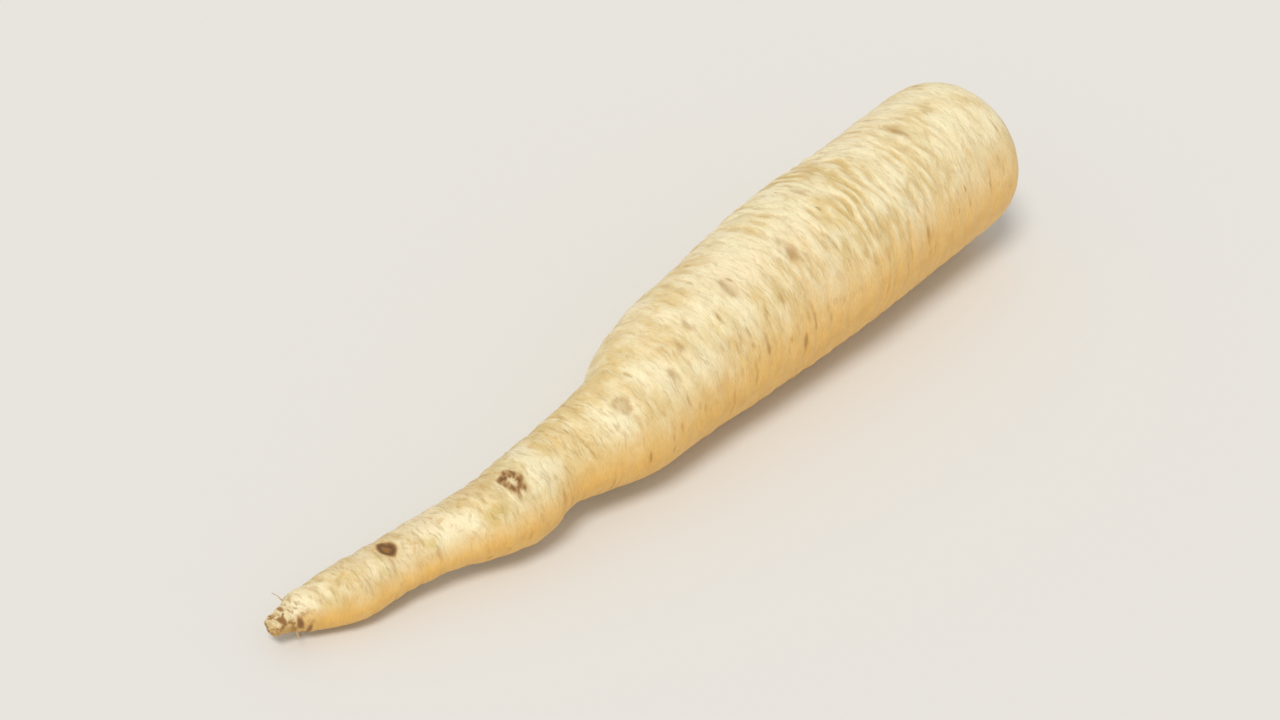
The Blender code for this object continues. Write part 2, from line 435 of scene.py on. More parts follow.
# Marks on the skin, in millimetres and degrees: distance, angle, length, width, how brown and how tan.
SPOTS = (
    (2.0, 122, 0.6, 0.8, 0.70, 0.9),
    (5.0, 172, 0.5, 1.3, 0.80, 0.9),
    (6.6, 196, 0.5, 1.6, 0.60, 0.9),
    (3.6, 74, 0.4, 0.7, 0.50, 0.8),
    (82.1, 108, 1.2, 2.4, 0.12, 0.7),
    (95.0, 117, 0.7, 1.3, 0.15, 0.8),
    (100.4, 108, 0.7, 1.8, 0.12, 0.8),
    (105.0, 99, 0.7, 1.4, 0.15, 0.7),
    (118.8, 100, 1.2, 2.6, 0.15, 0.9),
    (136.2, 111, 1.3, 2.9, 0.20, 1.0),
    (151.5, 77, 0.9, 2.0, 0.10, 0.7),
    (183.2, 85, 1.0, 2.4, 0.22, 1.0),
    (83.0, 175, 0.5, 2.0, 0.36, 1.0),
    (119.0, 154, 0.45, 2.6, 0.26, 1.0),
    (130.0, 173, 0.45, 3.0, 0.30, 1.0),
    (133.5, 160, 0.40, 2.2, 0.22, 1.0),
    (173.0, 162, 0.45, 2.8, 0.22, 1.0),
    (42.0, 330, 1.4, 2.0, 0.8, 0.8),
    (112.0, 10, 1.2, 2.6, 0.4, 0.9),
    (161.0, 335, 1.3, 3.0, 0.35, 0.9),
)
# The dark pit near the tip: distance, angle, length and width.
PIT = (26.2, 88, 1.55, 2.5)
# Scars of fine side roots with a rim of dark specks round a paler middle.
RING_SPOTS = (
    (53.3, 98, 1.8, 3.3, 1.15, 0.9),
    (82.0, 107, 1.6, 2.6, 0.20, 0.5),
    (70.0, 280, 1.7, 3.0, 0.65, 0.7),
)
# Thin short scars scattered over a part of the skin, in millimetres and degrees: number, from and to along
# the root, from and to round it, narrowest and widest, faintest and darkest.
SCATTERED = (
    (22, 98, 142, 112, 168, 0.9, 2.4, 0.0, 0.28),
    (20, 60, 200, 150, 212, 1.5, 4.2, 0.05, 0.40),
    (16, 60, 205, 20, 70, 1.0, 3.0, 0.0, 0.40),
    (14, 145, 206, 118, 165, 1.0, 2.6, 0.0, 0.30),
    (20, 10, 98, 120, 215, 0.8, 2.2, 0.0, 0.40),
    (16, 10, 98, 20, 90, 0.7, 1.8, 0.0, 0.30),
    (18, 12, 95, 85, 150, 0.6, 1.5, 0.0, 0.28),
    (60, 12, 205, 212, 380, 1.0, 4.0, 0.05, 0.60),
    (16, 106, 138, 132, 166, 0.7, 2.6, 0.05, 0.22),
)
SCATTER_SEED = 29
# The shortest and the longest of them along the root, in millimetres.
SCAR_LENGTH = (0.28, 0.50)
# How deep the spots, the scattered scars and the ring spots' rims are, how high the middles of those rims
# stand, and how ragged a scar is.
SPOT_DEPTH, SCAR_DEPTH, RIM_DEPTH, RIM_MIDDLE = 0.12 * MM, 0.13 * MM, 0.16 * MM, 0.10 * MM
SCAR_FRAY = 0.45 * MM
# How far a point stands above the skin round it to take a ridge's full painted highlight, and as far below it
# to take a crease's full painted shade; and the rounds of smoothing that give the skin round it.
RAISED_FULL, SMOOTHING_ROUNDS = 0.13 * MM, 26
# The skin's rings get closer by this share, from so far before the groove, and are closest from so far.
CLOSER_RINGS, CLOSER_FROM, CLOSEST_FROM = 1.2, 15.0 * MM, 8.0 * MM
TRAVEL_STEPS = 4001
# The dish that closes the skin under the crown: depth and reach of its rings.
DISH = ((0.5 * MM, 12.0 * MM), (1.2 * MM, 7.0 * MM), (1.3 * MM, 1.0 * MM))
# The ring of the groove, the last one before the dish.
LAST_RING = math.prod(SKIN_CUTS) - len(DISH)


def grain(points, per_metre, across_metre, shift=0.0):
    """Noise on the skin, with so many features to the metre along the root and across it. The points are
    given as distances along the root, and sideways and up from its middle."""
    along, aside, up = points
    return field(along * per_metre, aside * across_metre, up * across_metre + shift)


def softened(values):
    """A grid of values after all rounds of mixing each with its neighbours."""
    for _ in range(SMOOTHING_ROUNDS):
        values = (np.roll(values, 1, axis=1) + 2 * values + np.roll(values, -1, axis=1)) / 4
        ended = np.concatenate((values[:1], values, values[-1:]))
        values = (ended[:-2] + 2 * values + ended[2:]) / 4
    return values


def skin_marks(along, turns, radius, frayed):
    """How brown, tan and deep the marks are at each point."""
    brown, tan, depth = np.zeros((3, *along.shape))
    for *oval, dark, warm in SPOTS:
        reach = reach_of(along, turns, radius, *oval)
        ragged = np.maximum(reach * np.maximum(1 + 1.5 * frayed, 0.4) + 0.6 * frayed, 0.0)
        brown = np.maximum(brown, dark * np.exp(-1.3 * ragged**2))
        tan = np.maximum(tan, warm * np.exp(-0.8 * ragged))
        depth += SPOT_DEPTH * np.exp(-reach)
    reach = np.sqrt(reach_of(along, turns, radius, *PIT)) * (1 + 0.22 * frayed)
    brown = np.maximum(brown, 0.55 * np.exp(-(reach**6)) + 0.50 * np.exp(-(((reach - 0.68) / 0.24) ** 2)))
    tan = np.maximum(tan, np.exp(-0.8 * reach**3))
    for *oval, dark, warm in RING_SPOTS:
        ahead, aside = oval_place(along, turns, radius, *oval)
        reach = np.hypot(ahead, aside) * (1 + 0.35 * frayed)
        round_it = np.arctan2(ahead, aside)
        specks = field(np.cos(round_it) * 3.1 + oval[0] * 90 * MM, np.sin(round_it) * 3.1, reach * 2.2)
        specks = 0.35 + 0.65 * ramp(specks, -0.15, 0.25)
        rim = np.exp(-(((reach - 0.68) / 0.33) ** 2))
        brown = np.maximum(brown, dark * rim * specks)
        tan = np.maximum(tan, warm * (0.9 * rim + 0.35 * np.exp(-(reach**2))))
        depth += RIM_DEPTH * rim * (0.4 + 0.6 * specks) - RIM_MIDDLE * np.exp(-4 * reach**2)
    draw = random.Random(SCATTER_SEED)
    for number, start, end, low, high, narrow, wide, faint, strong in SCATTERED:
        for _ in range(number):
            place, turn = draw.uniform(start, end), draw.uniform(low, high)
            length, width = draw.uniform(*SCAR_LENGTH), draw.uniform(narrow, wide)
            dark = draw.uniform(faint, strong)
            reach = reach_of(along + SCAR_FRAY * frayed, turns, radius, place, turn, length, width)
            mark = np.exp(-(reach**1.5)) * (0.75 + 0.6 * frayed)
            brown = np.maximum(brown, dark * np.clip(1.15 * mark - 0.25, 0.0, 1.0))
            tan = np.maximum(tan, np.clip((0.35 + dark) * mark, 0.0, 1.0))
            depth += SCAR_DEPTH * mark
    return np.clip(brown, 0.0, 1.0), tan, depth


def skin_relief(surface):
    """How deep the creases are at each point of the surface, and how high the soft ridges between them."""
    along, aside, up = surface
    creases = np.zeros_like(along)
    sway = 0.9 * grain(surface, 60, 55, 7.0)
    for per_metre, across_metre, width, deep, seed in CREASES:
        rise = field(along * per_metre + sway + seed, aside * across_metre + seed, up * across_metre)
        present = ramp(grain(surface, 140, 120, seed), -0.30, 0.20)
        creases += deep * np.exp(-((rise / width) ** 2)) * (0.3 + 0.7 * present)
    ridges = np.sin(2 * np.pi * (along + RIDGE_WANDER * grain(surface, 115, 105, 3.0)) / RIDGE_PITCH)
    ridges *= ramp(grain(surface, 190, 150, 9.0), -0.30, 0.25)
    ridges *= np.interp(along, RIDGE_PLACES, RIDGE_SHARES)
    return creases, RIDGE_HEIGHT * ridges + DIMPLE_DEPTH * grain(surface, 250, 160)


def collar_and_lip(surface, before_lip, frayed):
    """How strong the lines round the shoulder's lip are at each point, and how much of the bare lip shows."""
    wander = COLLAR_WANDER * grain(surface, 130, 110, 5.0)
    collar = np.maximum(np.sin(2 * np.pi * (before_lip + wander) / COLLAR_PITCH), 0.0) ** 2
    collar *= ramp(grain(surface, 260, 130, 2.0), -0.25, 0.2) * (1 - ramp(before_lip, *COLLAR_FADE))
    uneven = LIP_WANDER * grain(surface, 90, 150, 8.0) + LIP_FRAY * frayed
    return collar, 1 - ramp(before_lip + uneven, *LIP_FADE)


def skin_grid(angle):
    """The skin's rings of points before their relief, and how far over the surface each ring is."""
    solid = solid_rings(angle, BROAD_RING_SHARE)
    dish = [around_middle(CROWN_FOOT - drop, angle, reach) for drop, reach in DISH]
    steps = np.linalg.norm(np.diff(solid, axis=0), axis=-1).mean(axis=1)
    travelled = np.append(0.0, np.cumsum(steps))
    fine_steps = np.linspace(0.0, travelled[-1], TRAVEL_STEPS)
    before_end = travelled[-1] - fine_steps
    closeness = np.cumsum(1 + CLOSER_RINGS * (1 - ramp(before_end, CLOSEST_FROM, CLOSER_FROM)))
    travel = np.interp(np.linspace(0.0, closeness[-1], LAST_RING + 2)[1:], closeness, fine_steps)
    numbers = np.interp(travel, travelled, np.arange(len(solid)))
    where = np.append(numbers, len(solid) + np.arange(len(dish)))
    reached = np.append(travel, travel[-1:].repeat(len(dish)))
    return between_rings(np.concatenate((solid, dish)), where), reached


def make_skin(material):
    angle = all_round(SKIN_SIDES)
    grid, ring_travel = skin_grid(angle)
    along = grid[..., 0]
    aside, up = np.moveaxis(grid - middle(along), -1, 0)[1:]
    turns = np.broadcast_to(angle, along.shape)
    frayed = grain((along, aside, up), 700, 420)
    ragged = grain((along, aside, up), 1250, 1000)
    # Past the shoulder's start, distances are taken over the surface.
    started = np.argmin(np.abs(along.mean(axis=1) - SHOULDER_START))
    past = np.maximum(ring_travel - ring_travel[started], 0.0)[:, None]
    travel = np.where(along < SHOULDER_START, along, SHOULDER_START + past)
    surface = (travel, aside, up)

    creases, ridges = skin_relief(surface)
    brown, tan, marks = skin_marks(along, turns, np.maximum(smooth_value(along, RADIUS), MM), frayed)
    collar, lip = collar_and_lip(surface, travel[LAST_RING - 1].mean() - travel, frayed)
    smooth = facing(turns, *SMOOTH_SIDE)
    tip = 1 - ramp(along, *TIP_FADE)
    relief = creases * (1 - SMOOTH_CREASES * smooth) - ridges * (1 - SMOOTH_RIDGES * smooth)
    depth = np.interp(along, CREASE_PLACES, CREASE_SHARES) * relief
    depth += marks + COLLAR_DEPTH * collar + TIP_DEPTH * tip * (0.6 + ragged)
    number = np.arange(len(grid))[:, None]
    depth *= (0.25 + 0.75 * rest_fade(along, turns)) * ramp(LAST_RING - number, 0.0, 2.0)

    far_side = facing(turns, *FAR_SIDE) * (1 - ramp(along, *FAR_END))
    tip_brown = TIP_BROWN * tip * ramp(ragged + 0.25 * frayed, 0.0, 0.5)
    washes = (1 + 0.5 * frayed) * np.maximum(TIP_TAN * tip, FAR_TAN * far_side)
    inside = np.broadcast_to(number >= LAST_RING, along.shape)
    # Painted light: crests above the skin round them are painted as highlights, creases below it as shade.
    raised = (softened(depth) - depth) / RAISED_FULL
    values = {
        "raised": np.where(inside, 0.0, np.clip(raised, -1.0, 1.0)),
        "brown": np.maximum.reduce((brown, (0.30 + 0.35 * lip) * collar, tip_brown)),
        "tan": np.maximum.reduce((tan, 0.8 * collar * (1 - lip), washes)),
        # Painted shade: the groove round the crown, and the dish hidden under it, painted dark brown.
        "groove": np.where(inside, 1.0, 0.9 * (number > LAST_RING - 2)),
        "lip": lip,
        # Painted light in part: the lower side is golden partly in its own tan and partly as painted warm
        # bounce light.
        "gold_and_bounce_side": facing(turns, *GOLD_AND_BOUNCE_SIDE),
        "from_tip": along,
        "flank": smooth,
    }
    low, high = np.array(CAD_BOX)
    size = high - low
    skin = turned_blank("taproot_skin", SKIN_SIDES, SKIN_CUTS, size[0], size[2] / 2, (low + high) / 2)
    ends = (middle(0.0), middle(CROWN_FOOT - DISH[-1][0]))
    shape_blank(skin, grid - outward(grid) * depth[..., None], ends, values)
    finish_piece(skin, material)
    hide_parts("taproot")


# Crown

# How far the ledges lie to one side and another, and how deep their tears and folds are.
LEDGE_SHIFT, TEAR_DEPTH, FOLD_DEPTH = 0.35 * MM, 0.45 * MM, 0.20 * MM
# Folds between the leaf bases of a ledge: where they lie across it, and their noise seeds.
FOLDS = ((0.42, 1.7), (0.60, 5.1), (0.80, 9.2))
FOLD_WIDTH, FOLD_WANDER = 0.09 * MM, 0.14 * MM
# A ledge's edge is jagged and frayed by so much. Its tears reach in this far from the edge, and the painted
# shade of the crevice at its foot lies this far in and is this wide.
LEDGE_JAGS, LEDGE_FRAY = 0.26 * MM, 0.14 * MM
TEAR_INNER, TEAR_OUTER = (-0.1 * MM, 0.3 * MM), (0.5 * MM, 1.3 * MM)
FOOT_PLACE, FOOT_WIDTH = 0.05 * MM, 0.15 * MM
# The rough bed between the outermost ledge and the skin: its edge under the lip, height and roughness.
BED_EDGE, BED_HEIGHT, BED_ROUGHNESS = CROWN_RADIUS - 0.12 * MM, 0.28 * MM, 0.12 * MM
# The fibrous core: how far from the middle it ends, how rough it is, and how rough the rest of the crown is.
CORE_FADE, CORE_ROUGHNESS, RAY_ROUGHNESS = (1.6 * MM, 3.6 * MM), 0.40 * MM, 0.12 * MM
# The rings that close the crown underneath: depth and reach.
CROWN_UNDER = ((1.1 * MM, 0.2 * MM), (1.0 * MM, BED_EDGE - 1.8 * MM), (0.6 * MM, BED_EDGE - 0.6 * MM))
CROWN_BLANK = 6.0 * MM


def ledge_radius(i, angle):
    """The wavy outline of one ledge of leaf-base scars."""
    turn = np.radians(angle)
    outer = CROWN_RADIUS - 2 * GROOVE_WIDTH - i * SCAR_STEP
    wavy = outer * (1 + SCAR_WAVE * (np.sin(3 * turn + 2.1 * i) + 0.6 * np.sin(5 * turn + 1.3 * i)))
    return wavy + LEDGE_SHIFT * (np.sin(turn + 2.4 * i) if i else np.sin(2 * turn + 0.7))


def crown_relief(radius, angle):
    """Height over the foot of the crown, and how far down in a crevice each point is, which is painted as
    shade.
    """
    turn = np.radians(angle)
    x, y = radius * np.cos(turn), radius * np.sin(turn)
    height = BED_HEIGHT + BED_ROUGHNESS * field(x * 1500, y * 1500, 9.0)
    crevice = 0.5 * ramp(field(x * 800, y * 800, 12.0), -0.1, 0.3)
    jagged = LEDGE_JAGS * field(x * 420, y * 420, 0.0) + LEDGE_FRAY * field(x * 1300, y * 1300, 4.0)
    for i in range(SCAR_RINGS):
        outer, inner = ledge_radius(i, angle) + jagged, ledge_radius(i + 1, angle) + jagged
        inwards = outer - radius
        lip = SCAR_LIP * (1.0 + 1.3 * round_field(0.0, angle, 3.0, 1.0, 5.0 + 3.1 * i))
        face = (SCAR_RISE + lip) * ramp(inwards, 0.0, SCAR_FACE)
        level = i * SCAR_RISE + face - lip * ramp(inwards, SCAR_FACE, outer - inner)
        torn = ramp(round_field(radius, angle, 7.5, 900.0, 2.0 + 5.3 * i) + 1100 * jagged, 0.25, 0.60)
        torn *= ramp(inwards, *TEAR_INNER) * (1 - ramp(inwards, *TEAR_OUTER))
        height = np.where(inwards > 0, level - TEAR_DEPTH * torn, height)
        crevice = np.where(inwards > FOOT_WIDTH, 0.55 * torn, crevice)
        crevice = np.maximum(crevice, np.exp(-(((inwards - FOOT_PLACE) / FOOT_WIDTH) ** 2)))
        for share, seed in FOLDS:
            wave = FOLD_WANDER * round_field(0.0, angle, 2.5, 1.0, seed + i)
            fold = np.exp(-(((inwards - share * SCAR_STEP + wave) / FOLD_WIDTH) ** 2))
            fold = fold * ramp(round_field(0.0, angle, 2.4, 1.0, seed + 20 + 2.3 * i), -0.15, 0.15)
            height = height - FOLD_DEPTH * fold * (inwards > 0)
            crevice = np.maximum(crevice, 0.75 * fold)
    return height, np.clip(crevice, 0.0, 1.0)


def make_crown(material):
    angle = all_round(CROWN_SIDES)
    top_rings = math.prod(CROWN_CUTS) + 1 - len(CROWN_UNDER)
    radius, turns = np.meshgrid(BED_EDGE * (1 - np.arange(top_rings) / top_rings), angle, indexing="ij")
    height, crevice = crown_relief(radius, turns)
    turn = np.radians(turns)
    x, y = radius * np.cos(turn), radius * np.sin(turn)
    core = 1 - ramp(radius, *CORE_FADE)
    fibrous = field(x * 900, y * 900, 2.0) + 0.5 * field(x * 2100, y * 2100, 7.0)
    rays = field(np.cos(turn) * 9, np.sin(turn) * 9, radius * 160)
    height += CORE_ROUGHNESS * core * fibrous + RAY_ROUGHNESS * (1 - core) * rays
    height += 0.06 * MM * field(x * 1800, y * 1800, 1.0)
    under = [around_middle(CROWN_FOOT - drop, angle, reach) for drop, reach in CROWN_UNDER]
    grid = np.concatenate((under, around_middle(CROWN_FOOT + height, turns, radius)))
    ends = (middle(CROWN_FOOT - CROWN_UNDER[0][0]), grid[-1].mean(axis=0))
    pad = ((len(under), 0), (0, 0))
    # The crevice numbers are painted as shade; the hidden rings underneath are fully shaded.
    values = {"crevice": np.pad(crevice, pad, constant_values=1.0)}
    values.update(core=np.pad(core, pad), fibrous=np.pad(fibrous, pad))
    place = (CAD_BOX[1][0] - CROWN_BLANK / 2, 0.0, middle(CROWN_FOOT)[2])
    crown = turned_blank("crown_scars", CROWN_SIDES, CROWN_CUTS, CROWN_BLANK, CROWN_RADIUS, place)
    shape_blank(crown, grid, ends, values)
    finish_piece(crown, material)


# Leaf stubs

# Torn bases of the cut leaves, standing on the crown, in degrees and millimetres: angle, distance from the
# crown's middle, width round it, height, thickness, and how far the top leans out.
STUBS = (
    (62, 8.4, 7.4, 4.4, 1.0, 0.7),
    (152, 9.2, 8.0, 3.2, 0.9, 0.8),
    (236, 8.0, 5.4, 2.4, 0.9, 0.4),
    (322, 8.9, 5.8, 2.8, 0.9, 0.4),
    (108, 5.8, 5.6, 4.2, 0.8, 0.3),
    (284, 5.4, 4.6, 3.0, 0.8, 0.1),
    (15, 5.6, 5.0, 3.6, 0.8, 0.3),
    (196, 4.8, 4.4, 2.8, 0.8, 0.1),
)
STUB_SINK = 0.7 * MM
# The stubs' tops level off at least this far before the end of the box.
STUB_CLEAR = 0.05 * MM
# How far a stub's ends curve in towards the middle, and how far its sides wander.
STUB_CURVE, STUB_WANDER = 0.5 * MM, 0.15 * MM


def stub_blank(name):
    """A cube from -1 to 1 cut into small squares on every side."""
    deselect_all()
    bpy.ops.mesh.primitive_cube_add(size=2.0, location=(0.0, 0.0, 0.0))
    blank = bpy.context.object
    blank.name = blank.data.name = name
    set_mode("EDIT")
    bpy.ops.mesh.select_all(action="SELECT")
    bpy.ops.mesh.subdivide(number_cuts=STUB_CUTS)
    set_mode("OBJECT")
    return blank


def join_pieces(name, pieces):
    deselect_all()
    for piece in pieces:
        piece.select_set(True)
    bpy.context.view_layer.objects.active = pieces[0]
    bpy.ops.object.join()
    pieces[0].name = pieces[0].data.name = name
    return pieces[0]


def make_stubs(material):
    """Thin crescents, torn along the top and ribbed with fibres."""
    pieces = []
    for number, (angle, *lengths) in enumerate(STUBS):
        radius, width, height, thick, lean = np.array(lengths) * MM
        piece = stub_blank("leaf_stub")
        aside, through, up = points_of(piece).T
        seed = 4.7 * number
        risen = (up + 1) / 2
        torn = 1 - 0.55 * np.abs(aside) ** 2.2 + 0.45 * field(aside * 3.1, 0.0, seed)
        torn += 0.32 * field(aside * 9.0, through * 0.8, seed + 3.0)
        ribs = 1 + 0.42 * field(aside * 9.5, risen * 0.7, seed + 6.0)
        half = 0.5 * thick * (1 - 0.6 * aside**2) * ribs * (1 - 0.5 * risen)
        wander = STUB_WANDER * field(risen * 2.0, through, aside * 6.0 + seed)
        turn = angle + np.degrees((0.5 * width * aside + wander) / radius)
        reach = radius - STUB_CURVE * aside**2 + through * half + lean * risen**1.5
        base = CROWN_FOOT + crown_relief(radius, angle)[0] - STUB_SINK
        room = CAD_BOX[1][0] - ROW_SHIFT[0] - STUB_CLEAR - base
        wanted = STUB_SINK + height * np.maximum(torn, 0.15)
        along = base + risen * room * (1 - np.exp(-wanted / room))
        place_points(piece, around_middle(along, turn, reach))
        add_values(piece, "risen", risen * np.clip(torn, 0.0, 1.2))
        pieces.append(piece)
    finish_piece(join_pieces("leaf_stubs", pieces), material, 50.0)


# Tail fibres

# Fine rootlets left at the tail, in degrees and millimetres: angle, distance, length, thickness, sweep
# towards the tip and sideways.
FIBRES = (
    (208, 5.0, 1.6, 0.40, 0.9, -0.9),
    (18, 5.8, 2.3, 0.38, 1.3, 1.1),
    (246, 7.2, 1.9, 0.38, 1.2, 0.9),
    (338, 10.5, 2.4, 0.36, 1.8, -0.8),
    (330, 42.4, 2.0, 0.42, 1.0, 0.8),
    (8, 65.5, 1.6, 0.36, 0.9, -0.9),
    (281, 70.0, 1.5, 0.40, 0.6, 0.5),
)
FIBRE_SINK, FIBRE_BEND = 0.8 * MM, 0.9 * MM
# Length, radius and place of a fibre's blank.
FIBRE_BLANK = (10.0 * MM, 2.0 * MM, (0.0, 0.0, 20.0 * MM))


def make_fibres(material):
    """Thin threads that taper, bend and end ragged."""
    pieces = []
    share = np.linspace(0.0, 1.0, math.prod(FIBRE_CUTS) + 1)
    side = np.radians(all_round(FIBRE_SIDES))[None, :, None]
    for number, (turn, *lengths) in enumerate(FIBRES):
        place, length, thick, back, sideways = np.array(lengths) * MM
        reach = smooth_value(place, RADIUS) - FIBRE_SINK + share * (length + FIBRE_SINK)
        path = around_middle(place - back * share**2, turn + np.degrees(sideways * share**2 / reach), reach)
        bend = field(share * 2.6, 3.3 * number, 1.0)
        path += FIBRE_BEND * share[:, None] * np.stack((bend, np.roll(bend, 3), bend[::-1]), axis=-1)
        ahead = unit(np.gradient(path, axis=0))
        first = unit(np.cross(ahead, (1.0, 0.2, 0.1)))
        spokes = np.cos(side) * first[:, None] + np.sin(side) * np.cross(ahead, first)[:, None]
        size = 0.5 * thick * (1 - 0.80 * share) * (1 + 0.25 * field(share * 7.0, 5.1 * number, 2.0))
        blank = turned_blank("fibre", FIBRE_SIDES, FIBRE_CUTS, *FIBRE_BLANK)
        shape_blank(blank, path[:, None] + size[:, None, None] * spokes, path[[0, -1]])
        pieces.append(blank)
    finish_piece(join_pieces("tail_fibres", pieces), material)


# Materials


def feed(tree, socket, value):
    """Links a socket to another, or sets it to a number or an opaque colour."""
    if isinstance(value, bpy.types.NodeSocket):
        tree.links.new(value, socket)
    else:
        socket.default_value = (*value, 1.0) if socket.type == "RGBA" else value


def set_inputs(node, **inputs):
    """Feeds a node's inputs, which are named with _ for each space."""
    for label, value in inputs.items():
        feed(node.id_data, node.inputs[label.replace("_", " ")], value)
    return node


def add_node(tree, kind, **inputs):
    return set_inputs(tree.nodes.new(kind), **inputs)


def calculate(tree, operation, *values):
    made = tree.nodes.new("ShaderNodeMath")
    made.operation = operation
    for socket, value in zip(made.inputs, values):
        feed(tree, socket, value)
    return made.outputs[0]


def times(tree, *values):
    """The product of all the values."""
    product = values[0]
    for value in values[1:]:
        product = calculate(tree, "MULTIPLY", product, value)
    return product


def outside(tree, mask, share=1.0):
    """1 where the mask is 0, and less by this share where it is 1."""
    return calculate(tree, "SUBTRACT", 1.0, times(tree, mask, share))


def between(tree, value, low, high):
    """0 below low, 1 above high and smooth between them."""
    made = add_node(tree, "ShaderNodeMapRange", Value=value, From_Min=low, From_Max=high)
    made.interpolation_type = "SMOOTHSTEP"
    return made.outputs[0]


def mix_colour(tree, share, first, second):
    """first where share is 0 and second where it is 1."""
    made = tree.nodes.new("ShaderNodeMix")
    made.data_type = "RGBA"
    for number, value in ((0, share), (6, first), (7, second)):
        feed(tree, made.inputs[number], value)
    return made.outputs[2]


def coats(tree, colour, layers):
    """The colour under its layers: each has a mask, the share of it that covers, and its own colour."""
    for mask, share, layer in layers:
        colour = mix_colour(tree, times(tree, mask, share), colour, layer)
    return colour


def new_group(name, *inputs):
    """A shared effect: its nodes, what goes in at a point, and the mask that comes out."""
    group = bpy.data.node_groups.new(name, "ShaderNodeTree")
    group.interface.new_socket("Vector", in_out="INPUT", socket_type="NodeSocketVector")
    for label in inputs:
        group.interface.new_socket(label, in_out="INPUT", socket_type="NodeSocketFloat")
    group.interface.new_socket("Mask", in_out="OUTPUT", socket_type="NodeSocketFloat")
    return group, group.nodes.new("NodeGroupInput").outputs, group.nodes.new("NodeGroupOutput").inputs["Mask"]


def stretched(group, given):
    """The point with its distance along the root wandering a little, and each direction at its own scale."""
    slow = add_node(group, "ShaderNodeTexNoise", Vector=given["Vector"], Scale=260.0, Detail=1.0)
    parts = add_node(group, "ShaderNodeSeparateXYZ", Vector=given["Vector"])
    sway = times(group, calculate(group, "SUBTRACT", slow.outputs[0], 0.5), given["Wander"])
    x = times(group, calculate(group, "ADD", parts.outputs[0], sway), given["Along"])
    y = times(group, parts.outputs[1], given["Around"])
    z = times(group, parts.outputs[2], given["Around"])
    return add_node(group, "ShaderNodeCombineXYZ", X=x, Y=y, Z=z).outputs[0]


def streaks_group():
    """Thin lines across the root, as many to the metre along it and around it as the values say."""
    group, given, mask = new_group("streaks", "Along", "Around", "Wander", "Low", "High")
    place = stretched(group, given)
    lines = add_node(group, "ShaderNodeTexNoise", Vector=place, Scale=1.0, Detail=3.0, Roughness=0.55)
    group.links.new(between(group, lines.outputs[0], given["Low"], given["High"]), mask)


def flecks_group():
    """Short dashes across the root, such as the pores where fine rootlets grew."""
    group, given, mask = new_group("flecks", "Along", "Around", "Wander", "Size", "Share")
    place = stretched(group, given)
    cells = add_node(group, "ShaderNodeTexVoronoi", Vector=place, Scale=1.0, Randomness=1.0)
    colour = add_node(group, "ShaderNodeSeparateColor", Color=cells.outputs["Color"])
    picked = calculate(group, "LESS_THAN", colour.outputs[0], given["Share"])
    size = times(group, given["Size"], calculate(group, "ADD", colour.outputs[1], 0.5))
    near = outside(group, between(group, cells.outputs["Distance"], times(group, size, 0.5), size))
    group.links.new(times(group, near, picked), mask)


def mottle_group():
    """Soft patches, drawn out across the root where Along is more than 1."""
    group, given, mask = new_group("mottle", "Scale", "Along", "Detail", "Low", "High")
    parts = add_node(group, "ShaderNodeSeparateXYZ", Vector=given["Vector"])
    x = times(group, parts.outputs[0], given["Along"])
    place = add_node(group, "ShaderNodeCombineXYZ", X=x, Y=parts.outputs[1], Z=parts.outputs[2]).outputs[0]
    patches = add_node(
        group, "ShaderNodeTexNoise", Vector=place, Scale=given["Scale"], Detail=given["Detail"]
    )
    group.links.new(between(group, patches.outputs[0], given["Low"], given["High"]), mask)


for make_group in (streaks_group, flecks_group, mottle_group):
    make_group()


def own_place(tree):
    """The point on the piece, in the piece's own coordinates."""
    return tree.nodes["Texture Coordinate"].outputs["Object"]


def effect(tree, name, **values):
    """One of the shared effects, read at each point of the piece."""
    made = tree.nodes.new("ShaderNodeGroup")
    made.node_tree = bpy.data.node_groups[name]
    return set_inputs(made, Vector=own_place(tree), **values).outputs["Mask"]


def mottle(tree, scale, along, detail, low, high):
    """Soft patches of this scale, drawn out across the root where along is more than 1."""
    return effect(tree, "mottle", Scale=scale, Along=along, Detail=detail, Low=low, High=high)


def painted(tree, name):
    """The numbers that a piece carries at its points under this name."""
    made = tree.nodes.new("ShaderNodeAttribute")
    made.attribute_name = name
    return made.outputs["Fac"]


def fine_noise(tree, scale, detail):
    return add_node(tree, "ShaderNodeTexNoise", Vector=own_place(tree), Scale=scale, Detail=detail).outputs[0]


def bumps(tree, height, strength, distance):
    return add_node(tree, "ShaderNodeBump", Height=height, Strength=strength, Distance=distance).outputs[0]


def new_material(name, **constants):
    """A material whose shader has these constants."""
    material = bpy.data.materials.new(name)
    material.use_nodes = True
    material.node_tree.nodes.new("ShaderNodeTexCoord")
    finish_shader(material.node_tree, **constants)
    return material


def finish_shader(tree, **inputs):
    set_inputs(tree.nodes["Principled BSDF"], **inputs)


CREAM = (0.775, 0.595, 0.278)
PALE = (0.945, 0.850, 0.565)
ROSY = (0.93, 0.74, 0.49)
OCHRE = (0.66, 0.475, 0.18)
# The lower flank's golden colour, partly its own tan and partly painted warm bounce light from neighbouring
# roots.
GOLD = (0.930, 0.520, 0.085)
LINE_TAN = (0.50, 0.315, 0.110)
OLIVE_TAN = (0.66, 0.50, 0.165)
GOLD_SPOT = (0.72, 0.385, 0.085)
FLANK_CREAM = (0.835, 0.675, 0.365)
FLECK_BROWN = (0.34, 0.170, 0.050)
DARK_BROWN = (0.115, 0.054, 0.019)
SHOULDER_TAN = (0.70, 0.47, 0.28)
CROWN_PALE = (0.93, 0.80, 0.53)
CROWN_TAN = (0.71, 0.50, 0.27)
CROWN_ROSY = (0.66, 0.44, 0.33)
